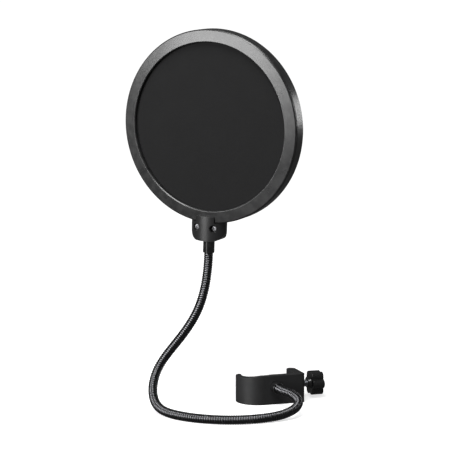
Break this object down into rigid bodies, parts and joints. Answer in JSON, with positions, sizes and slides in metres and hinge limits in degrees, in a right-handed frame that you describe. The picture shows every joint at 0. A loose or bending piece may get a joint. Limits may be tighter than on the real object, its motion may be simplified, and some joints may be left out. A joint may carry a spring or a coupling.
{
  "type": "microphone pop shield",
  "caption": "Round double-mesh pop shield on a bendable gooseneck, with a two-part saddle and a screw clamp for a stand tube.",
  "frame": {"origin": "on the middle line of the gripped tube, in the plane that the clamp lies on", "axes": "+Z along the gripped tube, up; +X along the clamp screw, towards the knob; -Y is the side where the gooseneck leaves"},
  "size_m": [0.1643, 0.1194, 0.3053],
  "materials": {
    "clamp_plastic": "fine moulded grain, satin black",
    "rubber": "matt black",
    "brass": "turned",
    "steel": "plain",
    "black_ferrule": "gloss black",
    "hose": "wound wire, satin black",
    "zinc_screw": "zinc plated",
    "knob_plastic": "polished black",
    "ring_plastic": "satin black",
    "mesh_cloth": "stretched knitted nylon, matt black",
    "saddle_plastic": "satin black",
    "bright_screw": "nickel plated"
  },
  "bodies": {
    "clamp": {"clamp_body": "clamp_plastic", "jaw_liner": "rubber", "thread_insert": "brass", "anchor_screw": "steel", "base_ferrule": "black_ferrule", "neck_1": "hose"},
    "neck_2_length": {"neck_2": "hose"},
    "neck_3_length": {"neck_3": "hose"},
    "neck_4_length": {"neck_4": "hose"},
    "neck_5_length": {"neck_5": "hose"},
    "neck_6_length": {"neck_6": "hose", "top_ferrule": "black_ferrule", "swivel_stud": "steel"},
    "screen": {"friction_washer": "steel", "front_ring": "ring_plastic", "rear_ring": "ring_plastic", "mesh_hoop": "ring_plastic", "front_mesh": "mesh_cloth", "rear_mesh": "mesh_cloth", "saddle_front": "saddle_plastic", "saddle_rear": "saddle_plastic", "saddle_screws": "bright_screw", "saddle_nuts": "steel"},
    "pad": {"pressure_pad": "clamp_plastic", "pad_facing": "rubber", "tip_clip": "steel"},
    "screw": {"clamp_screw": "zinc_screw", "knob": "knob_plastic", "knob_cap": "knob_plastic"}
  },
  "joints": [
    {"name": "neck_bend_1", "type": "hinge", "parent": "clamp", "child": "neck_2_length", "pos_m": [0.01333, -0.06067, 0.00992], "axis": [-0.1493, -0.2985, 0.9427], "range_deg": [-30, 30]},
    {"name": "neck_bend_2", "type": "hinge", "parent": "neck_2_length", "child": "neck_3_length", "pos_m": [-0.04533, -0.07333, 0.0037], "axis": [0.28, 0.96, 0], "range_deg": [-30, 30]},
    {"name": "neck_bend_3", "type": "hinge", "parent": "neck_3_length", "child": "neck_4_length", "pos_m": [-0.09133, -0.02267, 0.00628], "axis": [0.0517, -0.2716, 0.961], "range_deg": [-30, 30]},
    {"name": "neck_bend_4", "type": "hinge", "parent": "neck_4_length", "child": "neck_5_length", "pos_m": [-0.07417, 0.00117, 0.047], "axis": [-0.6196, -0.7849, 0], "range_deg": [-30, 30]},
    {"name": "neck_bend_5", "type": "hinge", "parent": "neck_5_length", "child": "neck_6_length", "pos_m": [-0.0515, -0.01953, 0.09993], "axis": [0.7666, -0.6052, -0.2145], "range_deg": [-30, 30]},
    {"name": "head_swivel", "type": "hinge", "parent": "neck_6_length", "child": "screen", "pos_m": [-0.049, -0.0223, 0.1315], "axis": [0, -0.0958, 0.9954], "range_deg": [-90, 90]},
    {"name": "screw_travel", "type": "slide", "parent": "clamp", "child": "pad", "axis": [1, 0, 0], "range_m": [-0.0075, 0.002]},
    {"name": "screw_turn", "type": "hinge", "parent": "pad", "child": "screw", "pos_m": [0.02, 0, 0.012], "axis": [1, 0, 0], "range_deg": [-2700, 720]}
  ],
  "couplings": [
    {"joint": "screw_turn", "follows": "screw_travel", "rad_per_m": 6283.2}
  ]
}
